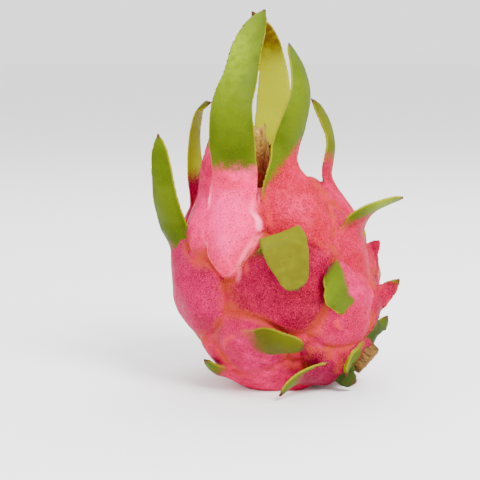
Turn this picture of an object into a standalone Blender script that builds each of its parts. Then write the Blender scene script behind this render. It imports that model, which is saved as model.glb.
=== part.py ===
"""A whole dragon fruit, upright on its own flat spot. For Blender 4.5; the scene is in metres, +Z up.

The origin is the middle of the flat spot that the fruit rests on. +X is to the right and -Y is the side seen
best. Sizes below are millimetres and degrees, and turn into metres where a mesh is made.

A place on the skin is a turn and a rise. The turn goes round the crown's axis, 0 at the front and positive to
the right. The rise goes from the stem, 0, to the crown, 180.
"""

import math
import random

import bmesh
import bpy
import numpy as np

MM = 0.001
SEED = 11


def unit(vector):
    vector = np.asarray(vector, float)
    return vector / np.linalg.norm(vector)


# Body
BODY_CENTRE = np.array([-5.0, -0.5, 46.5])
BODY_WAIST = 43.0
BODY_REACH_CROWN = 56.0
BODY_REACH_STEM = 49.0
CROWN_TAPER = 0.18
TAPER_POWER = 1.5
CROWN_AXIS = unit([-0.12, -0.26, 0.96])
STEM_AXIS = unit([0.74, -0.26, -0.62])
STEM_SWELL = 5.5
STEM_SWELL_ANGLE = 36.0
PIT_DEPTH = 13.0
PIT_ANGLE = 15.0
PIT_POWER = 4
STEM_DRAG_POWER = 1.5
BODY_SIDES = 44
BODY_RINGS = 27

# Bracts
FOOT_SINK = 2.5
ROOT_LIFT = 1.0
BRACT_SIDES = 8
STATIONS = (-0.85, -0.6, -0.3, -0.05, 0.1, 0.2, 0.3, 0.4, 0.5, 0.62, 0.74, 0.85, 0.93, 0.98)
SHORT_STATIONS = (-0.8, -0.5, -0.2, 0.08, 0.28, 0.48, 0.68, 0.85, 0.96)
SHORT_LENGTH = 24.0
WIDTH_ALONG = (
    (-1.0, 0.30), (-0.8, 0.85), (-0.55, 1.12), (-0.3, 1.12), (0.0, 0.90), (0.14, 0.90), (0.28, 1.0),
    (0.44, 0.91), (0.6, 0.75), (0.75, 0.67), (0.87, 0.53), (0.95, 0.30), (1.0, 0.04),
)
HALF_THICKNESS_ALONG = ((-1.0, 1.0), (-0.5, 2.6), (0.0, 2.2), (0.3, 1.4), (0.7, 1.0), (1.0, 0.6))
CAMBER_ALONG = ((-1.0, 0.012), (0.0, 0.014), (0.3, 0.02), (1.0, 0.02))
BASE_FADE = 0.25

# Stem stub and the withered flower in the crown's pit. A profile's rows are how far along its axis a ring is,
# from the skin, and the share of the radius there. The flower's are shares of its height.
FIT_GAP = 0.3
STUB_RADIUS = 7.0
STUB_PROFILE = ((-6.0, 0.75), (-1.0, 1.03), (1.5, 1.0), (4.2, 0.96), (5.3, 0.94), (5.8, 0.84))
STUB_SIDES = 24
STUB_RIDGES = 6
STUB_RIDGE_DEPTH = 0.06
FLOWER_RADIUS = 5.2
FLOWER_HEIGHT = 27.0
FLOWER_PROFILE = ((-0.15, 0.8), (0.0, 1.0), (0.35, 1.05), (0.65, 1.15), (0.85, 1.0), (0.96, 0.6))
FLOWER_SIDES = 14
FLOWER_RIDGES = 5
FLOWER_RIDGE_DEPTH = 0.08

# The dry strips round the flower: where the lowest and highest start up its height, where a strip's root and
# the strip stand, as shares of the flower's radius, and its half width along its length
SHREDS = 9
SHRED_HEIGHTS = (0.3, 0.8)
SHRED_LENGTH = 9.0
SHRED_LEANS = (2.0, 14.0)
SHRED_ROOT = 0.3
SHRED_STAND = 0.9
SHRED_PROFILE = ((0.15, 1.6), (0.45, 2.0), (0.75, 1.5), (0.92, 0.7))
SHRED_HALF_THICKNESS = 0.5
SHRED_SIDES = 6
GOLDEN_TURN = 137.5

FRONT = unit(np.array([0.0, -1.0, 0.0]) - CROWN_AXIS * np.dot([0.0, -1.0, 0.0], CROWN_AXIS))
RIGHT = np.cross(CROWN_AXIS, FRONT)


def bract(root, path, width, foot=None, drop=20.0, base=1.2, blunt=1.0, face=None):
    """A bract. It is rooted at a place on the skin, with its foot sunk below it, and its blade passes through
    the points of path to its tip. base widens its root, blunt keeps its tip wide, and face is the turn of the
    upright blade's outer side where that isn't the skin's own."""
    return {
        "root": root,
        "foot": foot or (root[0], root[1] - drop),
        "path": path,
        "width": width,
        "base": base,
        "blunt": blunt,
        "face": face,
    }


# The bracts on the side seen best
SEEN_BRACTS = [
    # Crown: front, front right, back, left back, left front and right
    bract((-37, 149), foot=(-34, 128), width=19.5, base=1.35, face=-8, path=[
        (-22, -33.5, 94.5), (-22.8, -37, 109.3), (-22.9, -37, 122.3), (-19.6, -33, 134.3), (-15.8, -22, 148.9),
        (-8.9, -8, 162.5)]),
    bract((30, 154), foot=(34, 133), width=18, base=1.55, face=48, path=[
        (-0.3, -31, 95.6), (0.5, -31, 105.6), (3.8, -30, 117), (6.3, -27, 127.2), (5.2, -22, 138.2),
        (1.1, -15, 148.3)]),
    bract((174, 134), width=17, face=170, path=[
        (-4.9, 20.5, 105.3), (-4, 22.5, 120.9), (-4.4, 20, 136.5), (-7.5, 11, 149.8), (-14, -2, 161.6)]),
    bract((-112, 134), width=13, face=-118, path=[
        (-39.2, 1, 89.6), (-39.6, 2.5, 101.8), (-38.8, 3, 112.8), (-36.3, 0, 120.8), (-31.9, -5, 123.2)]),
    bract((-76, 148), foot=(-66, 124), width=14, base=1.8, face=-45, path=[
        (-31.5, -19, 95.4), (-28.6, -19, 108), (-26.5, -15, 120.4), (-25.3, -8, 132)]),
    bract((104, 132), width=12, base=1.5, face=68, path=[
        (18.8, -2.5, 91.5), (19.8, -1, 98.4), (20.5, 0, 104.4), (19.5, 0.5, 110.5), (16.3, -1, 117.6),
        (11.4, -5, 124.7)]),
    # Shoulder: far left, and the long one that points right
    bract((-88, 108), foot=(-68, 85), width=15, base=1.7, face=-30, path=[
        (-48, -14, 69.2), (-51, -20, 82.8), (-52.3, -22, 94), (-53.1, -22, 102.4), (-53.7, -20, 110.4)]),
    bract((70, 120), foot=(48, 94), width=19, path=[
        (31.8, -22, 74.9), (36.5, -25, 79.5), (42.2, -26, 82.2), (49, -25, 84.4)]),
    # Front, with its blade folded down over its own base
    bract((3, 122), foot=(6, 94), width=19, base=1.9, blunt=1.8, path=[
        (-3, -48, 68.4), (-3.4, -51.5, 71.7), (-2.2, -55.3, 70.2), (-0.8, -56.3, 65.5), (1.4, -55.5, 58.5),
        (4.1, -52, 49.5)]),
    # Front right, its blunt tip turned up to the left
    bract((43, 79), foot=(42, 47), width=20, blunt=1.8, path=[
        (23.7, -38.5, 47.4), (20, -42.5, 54), (16.6, -44.5, 58)]),
    # Right side
    bract((114, 80), width=13, blunt=0.4, face=120, path=[(39.8, 6, 58.5), (42.6, 6, 61.8)]),
    bract((112, 70), width=10, blunt=0.4, face=120, path=[(40, 4, 53.5), (40.8, 4, 57.6)]),
    bract((76, 56), foot=(66, 42), width=13, blunt=0.35, face=10, path=[
        (44.8, -11, 42.6), (49.9, -11, 47.4)]),
    # Low on the front
    bract((-50, 62), foot=(-70, 52), width=16, blunt=1.3, path=[
        (-6.1, -43.5, 26.2), (0.4, -46.5, 26), (7, -45.5, 24)]),
    bract((-75, 16), foot=(-80, 5), width=17, path=[
        (14.7, -27, 8.7), (7.5, -33, 9.2), (2.4, -37, 7.5), (-2.6, -38.5, 2.7)]),
    # Round the stem
    bract((72, 14), foot=(82, 2), width=13, base=1.1, blunt=0.8, face=35, path=[
        (37.4, -17.5, 24.5), (39.2, -17.5, 31.5)]),
    bract((115, 16), foot=(125, 8), width=10, face=50, path=[(42, -9, 25.5), (45, -8, 30.5)]),
    bract((8, 12), foot=(30, 7), width=10, path=[(28.2, -24, 15), (26.6, -26.5, 12.5), (25.7, -27.5, 8.5)]),
    bract((-52, 14), foot=(-42, 18), width=11, path=[(26.5, -23.5, 6.5), (30.5, -22, 4.3)]),
]

# The bracts out of sight stand in rows: rise of the row, turns of its bracts, length, width, lean
HIDDEN_ROWS = [
    (140, (162, -152), 20.0, 15.0, 30.0),
    (120, (162, -173, -146), 15.0, 16.0, 38.0),
    (96, (146, 170, -162, -132), 15.0, 17.0, 40.0),
    (72, (140, 176, -146), 17.0, 17.0, 38.0),
    (50, (130, 158, -166, -92), 14.0, 15.0, 30.0),
    (28, (175, -150), 11.0, 13.0, 34.0),
]
HIDDEN_CURL = 22.0
JITTER_TURN = 4.0
JITTER_LEAN = 6.0
JITTER_LENGTH = 0.12


def smooth_step(x):
    x = min(max(x, 0.0), 1.0)
    return x * x * (3 - 2 * x)


def read(profile, at):
    return float(np.interp(at, [row[0] for row in profile], [row[1] for row in profile]))


def body_radius(direction):
    """Distance from the body's centre to its skin, in a unit direction."""
    along = float(direction @ CROWN_AXIS)
    waist = BODY_WAIST * (1 - CROWN_TAPER * max(along, 0.0) ** TAPER_POWER)
    reach = BODY_REACH_CROWN if along > 0 else BODY_REACH_STEM
    egg = 1 / math.sqrt((1 - along**2) / waist**2 + along**2 / reach**2)
    crown_angle = math.degrees(math.acos(min(max(along, -1.0), 1.0)))
    stem_angle = math.degrees(math.acos(min(max(float(direction @ STEM_AXIS), -1.0), 1.0)))
    swell = STEM_SWELL * math.exp(-((stem_angle / STEM_SWELL_ANGLE) ** 2))
    return egg + swell - PIT_DEPTH * math.exp(-((crown_angle / PIT_ANGLE) ** PIT_POWER))


def direction_at(turn, rise):
    """The way from the body's centre to a place on the skin. The lower end is drawn over to the stem."""
    t = math.radians(turn)
    r = math.radians(rise)
    plain = math.sin(r) * (math.cos(t) * FRONT + math.sin(t) * RIGHT) - math.cos(r) * CROWN_AXIS
    drag = ((1 + math.cos(r)) / 2) ** STEM_DRAG_POWER
    return unit(plain + drag * (STEM_AXIS + CROWN_AXIS))


def skin(turn, rise, lift=0.0):
    direction = direction_at(turn, rise)
    return BODY_CENTRE + direction * (body_radius(direction) + lift)


def outward_at(point):
    """The skin's outward normal under a point."""
    step = 0.01
    middle = unit(point - BODY_CENTRE)
    across = unit(np.cross(middle, [0.3, 0.2, 0.9]))
    along = np.cross(middle, across)
    beside = [unit(middle + way * step) for way in (across, along)]
    edges = [way * body_radius(way) - middle * body_radius(middle) for way in beside]
    normal = unit(np.cross(edges[0], edges[1]))
    return normal if normal @ middle > 0 else -normal


def curve_at(points, knots, at):
    """A point of the smooth curve that passes through points at knots."""
    steps = [(points[i + 1] - points[i]) / (knots[i + 1] - knots[i]) for i in range(len(points) - 1)]
    slopes = [steps[0]]
    for i in range(1, len(points) - 1):
        weight = (knots[i + 1] - knots[i]) / (knots[i + 1] - knots[i - 1])
        slopes.append(steps[i - 1] * weight + steps[i] * (1 - weight))
    slopes.append(steps[-1])
    i = int(np.clip(np.searchsorted(knots, at, side="right") - 1, 0, len(points) - 2))
    gap = knots[i + 1] - knots[i]
    s = (at - knots[i]) / gap
    value = (2 * s**3 - 3 * s**2 + 1) * points[i] + (s**3 - 2 * s**2 + s) * gap * slopes[i]
    return value + (-2 * s**3 + 3 * s**2) * points[i + 1] + (s**3 - s**2) * gap * slopes[i + 1]


def bract_path(spec):
    """A bract's middle line: its points, and how far along each is, from where the bract leaves the skin."""
    (turn, rise), foot = spec["root"], spec["foot"]
    points = [
        skin(foot[0], foot[1], -FOOT_SINK),
        skin((turn + foot[0]) / 2, (rise + foot[1]) / 2),
        skin(turn, rise, ROOT_LIFT),
    ]
    points += [np.array(point, float) for point in spec["path"]]
    lengths = np.cumsum([0.0] + [np.linalg.norm(b - a) for a, b in zip(points, points[1:])])
    return points, lengths - lengths[2]


def line_at(points, knots, at):
    """A point of a bract's middle line: at is -1 at its foot, 0 where it leaves the skin and 1 at its tip."""
    return curve_at(points, knots, at * (knots[-1] if at > 0 else -knots[0]))


def tangent_at(points, knots, at):
    step = 0.015
    return unit(line_at(points, knots, min(at + step, 1.0)) - line_at(points, knots, max(at - step, -1.0)))


def outward_along(spec, points, knots, at):
    """The way a bract's outer side faces: the skin's own on its foot, then carried along the blade."""
    step = 0.025
    normal = outward_at(line_at(points, knots, min(at, 0.0)))
    for u in np.arange(0.0, at, step):
        tangent = tangent_at(points, knots, u)
        normal = unit(normal - tangent * (normal @ tangent))
    tangent = tangent_at(points, knots, at)
    if spec["face"] is not None and at > 0:
        face = math.radians(spec["face"])
        target = np.array([math.sin(face), -math.cos(face), 0.0])
        target = unit(target - tangent * (target @ tangent))
        weight = smooth_step(at / BASE_FADE)
        normal = normal * (1 - weight) + target * weight
    return unit(normal - tangent * (normal @ tangent))


def bract_ring(spec, points, knots, at):
    """The cross-section of a bract, a lens that is bowed so that its outer side stands proud."""
    centre = line_at(points, knots, at)
    tangent = tangent_at(points, knots, at)
    outward = outward_along(spec, points, knots, at)
    side = np.cross(tangent, outward)
    half_width = spec["width"] / 2 * read(WIDTH_ALONG, at if at < 0 else at ** spec["blunt"])
    half_width *= 1 + (spec["base"] - 1) * (1 - smooth_step(at / BASE_FADE))
    thickness = read(HALF_THICKNESS_ALONG, at)
    camber = read(CAMBER_ALONG, at)
    ring = []
    for k in range(BRACT_SIDES):
        angle = 2 * math.pi * k / BRACT_SIDES
        across = half_width * math.cos(angle)
        proud = thickness * math.sin(angle) - camber * across**2
        ring.append(centre + side * across + outward * proud)
    return ring


def hidden_bracts(draw):
    """The bracts out of sight, a few to a row, each leaning out from the skin and curling back in."""
    specs = []
    for rise, turns, length, width, lean in HIDDEN_ROWS:
        for turn in turns:
            place = (turn + draw.uniform(-JITTER_TURN, JITTER_TURN), rise)
            reach = length * (1 + draw.uniform(-JITTER_LENGTH, JITTER_LENGTH))
            start = skin(*place, ROOT_LIFT)
            outward = outward_at(start)
            up = unit(skin(place[0], rise + 1) - skin(*place))
            path = []
            point = start
            for k in range(3):
                angle = math.radians(lean + draw.uniform(-JITTER_LEAN, JITTER_LEAN) - HIDDEN_CURL * k)
                point = point + (up * math.cos(angle) + outward * math.sin(angle)) * reach / 3
                path.append(tuple(point))
            specs.append(bract(place, path, width, base=1.5))
    return specs


def swept_mesh(name, rings, start, end):
    """A sphere whose rings are moved to the given rings, first to last, and its poles to start and end."""
    sides = len(rings[0])
    mesh_edit = bmesh.new()
    bmesh.ops.create_uvsphere(mesh_edit, u_segments=sides, v_segments=len(rings) + 1, radius=1.0)
    for vertex in mesh_edit.verts:
        polar = math.acos(min(max(vertex.co.z, -1.0), 1.0)) / math.pi * (len(rings) + 1)
        row = len(rings) - round(polar)
        if row < 0:
            point = start
        elif row >= len(rings):
            point = end
        else:
            turn = math.atan2(vertex.co.y, vertex.co.x) / (2 * math.pi) * sides
            point = rings[row][round(turn) % sides]
        vertex.co = [point[0] * MM, point[1] * MM, max(point[2], 0.0) * MM]
    bmesh.ops.triangulate(mesh_edit, faces=mesh_edit.faces)
    if mesh_edit.calc_volume(signed=True) < 0:
        bmesh.ops.reverse_faces(mesh_edit, faces=mesh_edit.faces)
    mesh = bpy.data.meshes.new(name)
    mesh_edit.to_mesh(mesh)
    mesh_edit.free()
    return mesh


def add_object(name, mesh, collection):
    thing = bpy.data.objects.new(name, mesh)
    collection.objects.link(thing)
    return thing


def bract_mesh(name, spec):
    points, knots = bract_path(spec)
    stations = STATIONS if knots[-1] > SHORT_LENGTH else SHORT_STATIONS
    rings = [bract_ring(spec, points, knots, at) for at in stations]
    return swept_mesh(name, rings, points[0], points[-1])


def body_mesh():
    rings = []
    for row in range(1, BODY_RINGS + 1):
        rise = 180.0 * row / (BODY_RINGS + 1)
        rings.append([skin(360.0 * k / BODY_SIDES, rise) for k in range(BODY_SIDES)])
    return swept_mesh("fruit", rings, skin(0.0, 0.0), skin(0.0, 180.0))


def across_axis(axis):
    """Two directions across an axis."""
    first = unit(np.cross(axis, [0.2, 1.0, 0.1]))
    return first, np.cross(axis, first)


def column_rings(start, axis, rows, sides, ridges, ridge_depth, grow):
    """Rings of a ridged column. Each row is how far along the axis it is, and its radius."""
    first, second = across_axis(axis)
    rings = []
    for along, radius in rows:
        ring = []
        for k in range(sides):
            angle = 2 * math.pi * k / sides
            reach = radius * (1 + ridge_depth * math.cos(ridges * angle)) + grow
            ring.append(start + axis * along + (first * math.cos(angle) + second * math.sin(angle)) * reach)
        rings.append(ring)
    return rings


def stub_mesh(name, grow=0.0):
    """The cut stem: it flares where it leaves the fruit and ends in a flat cut."""
    foot = BODY_CENTRE + STEM_AXIS * body_radius(STEM_AXIS)
    rows = [(along, STUB_RADIUS * share) for along, share in STUB_PROFILE]
    rings = column_rings(foot, STEM_AXIS, rows, STUB_SIDES, STUB_RIDGES, STUB_RIDGE_DEPTH, grow)
    start = foot + STEM_AXIS * (rows[0][0] - grow)
    return swept_mesh(name, rings, start, foot + STEM_AXIS * (rows[-1][0] + grow))


def flower_core_mesh(name, grow=0.0):
    """The withered flower's core, a ridged column that stands on the pit's floor."""
    foot = BODY_CENTRE + CROWN_AXIS * body_radius(CROWN_AXIS)
    rows = [(FLOWER_HEIGHT * along, FLOWER_RADIUS * share) for along, share in FLOWER_PROFILE]
    rings = column_rings(foot, CROWN_AXIS, rows, FLOWER_SIDES, FLOWER_RIDGES, FLOWER_RIDGE_DEPTH, grow)
    start = foot + CROWN_AXIS * (rows[0][0] - grow)
    return swept_mesh(name, rings, start, foot + CROWN_AXIS * FLOWER_HEIGHT)


def shred_mesh(name, turn, height, length, lean):
    """One dry, papery strip of the withered flower, rooted in its core."""
    foot = BODY_CENTRE + CROWN_AXIS * (body_radius(CROWN_AXIS) + height)
    first, second = across_axis(CROWN_AXIS)
    out = first * math.cos(turn) + second * math.sin(turn)
    side = np.cross(CROWN_AXIS, out)
    start = foot + out * FLOWER_RADIUS * SHRED_STAND
    rings = []
    for share, half_width in SHRED_PROFILE:
        centre = start + length * share * (CROWN_AXIS + out * math.tan(lean))
        ring = []
        for k in range(SHRED_SIDES):
            angle = 2 * math.pi * k / SHRED_SIDES
            across = side * half_width * math.cos(angle)
            ring.append(centre + across + out * SHRED_HALF_THICKNESS * math.sin(angle))
        rings.append(ring)
    root = foot + out * FLOWER_RADIUS * SHRED_ROOT
    return swept_mesh(name, rings, root, start + length * (CROWN_AXIS + out * math.tan(lean)))


def keep_result(thing):
    """Applies an object's modifiers."""
    depsgraph = bpy.context.evaluated_depsgraph_get()
    result = bpy.data.meshes.new_from_object(thing.evaluated_get(depsgraph))
    thing.modifiers.clear()
    thing.data = result


def join_all(thing, joined):
    """Fuses a collection's objects into thing by one union, and removes them."""
    union = thing.modifiers.new("joined", "BOOLEAN")
    union.operation = "UNION"
    union.operand_type = "COLLECTION"
    union.collection = joined
    keep_result(thing)
    for piece in list(joined.objects):
        bpy.data.objects.remove(piece)
    bpy.data.collections.remove(joined)


def keep_outer_shell(thing):
    """Drops the small hollows that fusing sealed, and any loose scrap."""
    mesh_edit = bmesh.new()
    mesh_edit.from_mesh(thing.data)
    unseen = set(mesh_edit.verts)
    shells = []
    while unseen:
        front = [unseen.pop()]
        shell = list(front)
        while front:
            vertex = front.pop()
            for edge in vertex.link_edges:
                other = edge.other_vert(vertex)
                if other in unseen:
                    unseen.remove(other)
                    shell.append(other)
                    front.append(other)
        shells.append(shell)
    shells.sort(key=len)
    for shell in shells[:-1]:
        bmesh.ops.delete(mesh_edit, geom=shell, context="VERTS")
    mesh_edit.to_mesh(thing.data)
    mesh_edit.free()


def cut_with(thing, cutter):
    cut = thing.modifiers.new("pocket", "BOOLEAN")
    cut.operation = "DIFFERENCE"
    cut.object = cutter
    cutter.hide_render = True
    cutter.display_type = "WIRE"


def finish_mesh(thing, material, sharp_angle=50.0):
    """Gives a piece its material, and smooth shading apart from its sharp edges."""
    thing.data.materials.clear()
    thing.data.materials.append(material)
    thing.data.shade_smooth()
    thing.data.set_sharp_from_angle(angle=math.radians(sharp_angle))


def make_material(name, colour, roughness):
    material = bpy.data.materials.new(name)
    material.use_nodes = True
    shader = material.node_tree.nodes["Principled BSDF"]
    shader.inputs["Base Color"].default_value = (*colour, 1.0)
    shader.inputs["Roughness"].default_value = roughness
    shader.inputs["Metallic"].default_value = 0.0
    return material


def new_collection(name):
    collection = bpy.data.collections.new(name)
    bpy.context.scene.collection.children.link(collection)
    return collection


def build_fruit(parts):
    """The body with every bract fused to it."""
    fruit = add_object("fruit", body_mesh(), parts)
    joined = new_collection("bracts")
    for number, spec in enumerate(SEEN_BRACTS + hidden_bracts(random.Random(SEED))):
        add_object(f"bract_{number:02d}", bract_mesh(f"bract_{number:02d}", spec), joined)
    join_all(fruit, joined)
    keep_outer_shell(fruit)
    return fruit


def build_flower(parts):
    """The withered flower: its core and dry strips in rising turns round it."""
    draw = random.Random(SEED)
    flower = add_object("dried_flower", flower_core_mesh("dried_flower"), parts)
    joined = new_collection("shreds")
    lowest, highest = SHRED_HEIGHTS
    for k in range(SHREDS):
        height = FLOWER_HEIGHT * (lowest + (highest - lowest) * k / SHREDS)
        length = SHRED_LENGTH * draw.uniform(0.8, 1.2)
        lean = math.radians(draw.uniform(*SHRED_LEANS))
        mesh = shred_mesh(f"shred_{k}", math.radians(GOLDEN_TURN) * k, height, length, lean)
        add_object(f"shred_{k}", mesh, joined)
    join_all(flower, joined)
    return flower


def main():
    for thing in list(bpy.data.objects):
        bpy.data.objects.remove(thing)
    parts = new_collection("dragon_fruit")
    cutters = new_collection("cutters")
    fruit = build_fruit(parts)
    stub = add_object("stem_stub", stub_mesh("stem_stub"), parts)
    flower = build_flower(parts)
    cut_with(fruit, add_object("stub_pocket", stub_mesh("stub_pocket", FIT_GAP), cutters))
    cut_with(fruit, add_object("flower_pocket", flower_core_mesh("flower_pocket", FIT_GAP), cutters))
    finish_mesh(fruit, make_material("peel", (0.62, 0.05, 0.12), 0.45))
    finish_mesh(stub, make_material("stem_wood", (0.35, 0.27, 0.12), 0.8))
    finish_mesh(flower, make_material("dried_flower", (0.32, 0.20, 0.11), 0.85))


main()
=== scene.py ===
import math
import random

import bpy
import numpy as np
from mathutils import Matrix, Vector


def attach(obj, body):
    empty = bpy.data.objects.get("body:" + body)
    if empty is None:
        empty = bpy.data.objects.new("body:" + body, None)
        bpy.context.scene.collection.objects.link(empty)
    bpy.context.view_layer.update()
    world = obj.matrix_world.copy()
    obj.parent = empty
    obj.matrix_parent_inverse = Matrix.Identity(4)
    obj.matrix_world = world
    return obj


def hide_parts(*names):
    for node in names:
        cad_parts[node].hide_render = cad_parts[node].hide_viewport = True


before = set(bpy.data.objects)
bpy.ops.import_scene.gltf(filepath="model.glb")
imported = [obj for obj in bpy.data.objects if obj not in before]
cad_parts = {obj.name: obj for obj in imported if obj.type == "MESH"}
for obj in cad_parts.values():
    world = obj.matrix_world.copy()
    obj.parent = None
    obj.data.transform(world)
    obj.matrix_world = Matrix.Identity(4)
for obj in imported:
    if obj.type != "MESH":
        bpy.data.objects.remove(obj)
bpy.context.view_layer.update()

# Sizes are millimetres and degrees, and turn into metres where a mesh is made. A place on the skin is a
# turn round the crown's axis, 0 at the front and positive to the right, and a rise from the stem, 0, to
# the crown, 180.
MM = 0.001
SEED = 11


def unit(vector):
    vector = np.asarray(vector, float)
    return vector / np.linalg.norm(vector)


# Body
BODY_CENTRE = np.array([-5.0, -0.5, 46.5])
BODY_WAIST = 43.0
BODY_REACH_CROWN = 56.0
BODY_REACH_STEM = 49.0
CROWN_TAPER = 0.18
TAPER_POWER = 1.5
CROWN_AXIS = unit([-0.12, -0.26, 0.96])
STEM_AXIS = unit([0.74, -0.26, -0.62])
STEM_SWELL = 5.5
STEM_SWELL_ANGLE = 36.0
STEM_DRAG_POWER = 1.5
PIT_DEPTH = 13.0
PIT_ANGLE = 15.0
PIT_POWER = 4
FRONT = unit(np.array([0.0, -1.0, 0.0]) - CROWN_AXIS * np.dot([0.0, -1.0, 0.0], CROWN_AXIS))
RIGHT = np.cross(CROWN_AXIS, FRONT)

# Bracts
FOOT_SINK = 2.5
ROOT_LIFT = 1.0
BLADE_START = 0.75
WIDTH_ALONG = (
    (-1.0, 0.30), (-0.8, 0.85), (-0.55, 1.12), (-0.3, 1.12), (0.0, 0.90), (0.14, 0.90), (0.28, 1.0),
    (0.44, 0.91), (0.6, 0.75), (0.75, 0.67), (0.87, 0.53), (0.95, 0.30), (1.0, 0.04),
)
HALF_THICKNESS_ALONG = ((-1.0, 1.0), (-0.5, 2.6), (0.0, 2.2), (0.3, 1.4), (0.7, 1.0), (1.0, 0.6))
CAMBER_ALONG = ((-1.0, 0.012), (0.0, 0.014), (0.3, 0.02), (1.0, 0.02))
BASE_FADE = 0.25
EDGE_RADIUS = 0.5
LEAST_HALF_WIDTH = 0.5

# The waves and the ragged line of a blade's edges: height, millimetres to the radian, and shift between the
# two edges. They grow from nothing at the root to full height EDGE_FREE further on
EDGE_WAVE = (0.22, 7.5, 1.5)
EDGE_RAGGED = (0.08, 3.1, 2.0)
EDGE_FREE = 14.0

# Cushions, the swollen bases that tile the skin
CUSHION_HEIGHT = 2.6
CUSHION_WIDEN = 1.5
CUSHION_END = 13.0
CUSHION_POWER_ALONG = 1.35
CUSHION_POWER_ACROSS = 1.5
CUSHION_FLOOR = -2.0
CUSHION_LEAST = -5.0
CUSHION_START = 0.12
CUSHION_STATIONS = 10
CUSHION_WIDTH_ALONG = ((0.0, 0.8), (0.5, 1.0), (1.0, 0.95))
CUSHION_REACH = 1.6
GROOVE_DEPTH = 0.7
GROOVE_WIDTH = 0.5
SHOULDER_HEIGHT = 0.45
SHOULDER_PLACE = 1.3
SHOULDER_WIDTH = 0.8
SHOULDER_FADE = np.array([0.11, 0.07, 0.13])
BODY_BLEND = 2.2
SKIN_BAND = 7.0
PIT_CALM_ANGLE = 20.0
RIPPLES = 9
RIPPLE_LENGTHS = (14, 40)
RIPPLE_PHASES = (0, 6.3)
RIPPLE_HEIGHTS = (0.1, 0.3)

# The marks that the peel's material reads: their values away from the blades, the bare skin's tones, and
# how soft the borders between tones, between a blade's two sides, and between blade and body are
FAR = 9.0
NO_BLADE = 50.0
OFF_BLADE = {
    "green": -12.0, "edge": FAR, "tip": 60.0, "inner": 0.0, "dark": 0.0, "rust": 0.0, "rim": 0.0, "wax": 0.0,
}
BARE_TONE = 0.7
BARE_COOL = 0.7
TONE_BLEND = 0.6
INNER_BLEND = 0.8
BLADE_BLEND = 2.0
FRINGE_WIDTH = 1.1

# The raised rim down both edges of a bract's base
RIM_HEIGHT = 0.75
RIM_INSET = 1.0
RIM_WIDTH = 1.1
RIM_FADE = 10.0

# Ribs, the raised margins of folds between cushions: height, width, how pale, and points near the skin
RIBS = (
    (1.3, 1.7, 0.65, ((-9.4, -38.2, 72), (-14.4, -39.3, 65.1), (-18.5, -39.7, 57.6), (-20.1, -40.2, 50.2))),
    (0.9, 1.9, 0.6, ((-16.3, -2.3, 93), (-13.3, -11.7, 87), (-11.9, -33.5, 82.6), (-14.8, -35.9, 75.4))),
)
RIB_STEPS = 60

# The waxy bloom on a blade, partly a painted sheen that is lighter towards the blade's left edge, as shares
# of its length
BLOOM_SHEEN_MIDDLE = 0.70
BLOOM_SHEEN_SPREAD = 0.21
SHEEN_LEFT = 0.6

# A slanted border on a blade comes no nearer to its root than this
SLANT_LEAST = 0.5

# The box that the field is read in, and its step. It is read coarsely first, then finely near the surface
FIELD_LOW = (-62.0, -66.0)
FIELD_HIGH = (56.0, 54.0, 168.0)
BELOW_FLOOR = 1.6
COARSE = 4
COARSE_REACH = 1.9
GRID = 0.72

# A bract's look where the table of bracts says nothing else, and how far its foot then lies below its root
FOOT_DROP = 20.0
PLAIN_BRACT = {
    "base": 1.2, "blunt": 1.0, "face": None, "plump": 1.0, "spread": 1.0, "wax": 0.35, "green": 6.0,
    "slant": 0.0, "fringe": 0.0, "dark": 0.0, "rust": 0.0, "tone": 0.5, "cool": 0.6,
}


def bract(name, root, path, width, **look):
    """A bract, as in the solids, with its look. plump is how far its cushion swells and spread how wide it
    is, wax the share of the pale waxy bloom on its blade, partly a painted sheen. It turns green at green mm
    from its root on its outer side and at inside mm on its inner side, slant mm later for each mm to its
    right, and sooner by fringe mm at its edges. dark is its share of the deep green round the stem, which on
    the low tongue is painted shade, rust its tip's brown, tone how deep its red is, partly painted shade on
    the bottom and under the folded flap, and cool how far that leans to magenta."""
    spec = {**PLAIN_BRACT, **look, "name": name, "root": root, "path": path, "width": width}
    spec.setdefault("foot", (root[0], root[1] - FOOT_DROP))
    spec.setdefault("inside", spec["green"])
    return spec


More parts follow.
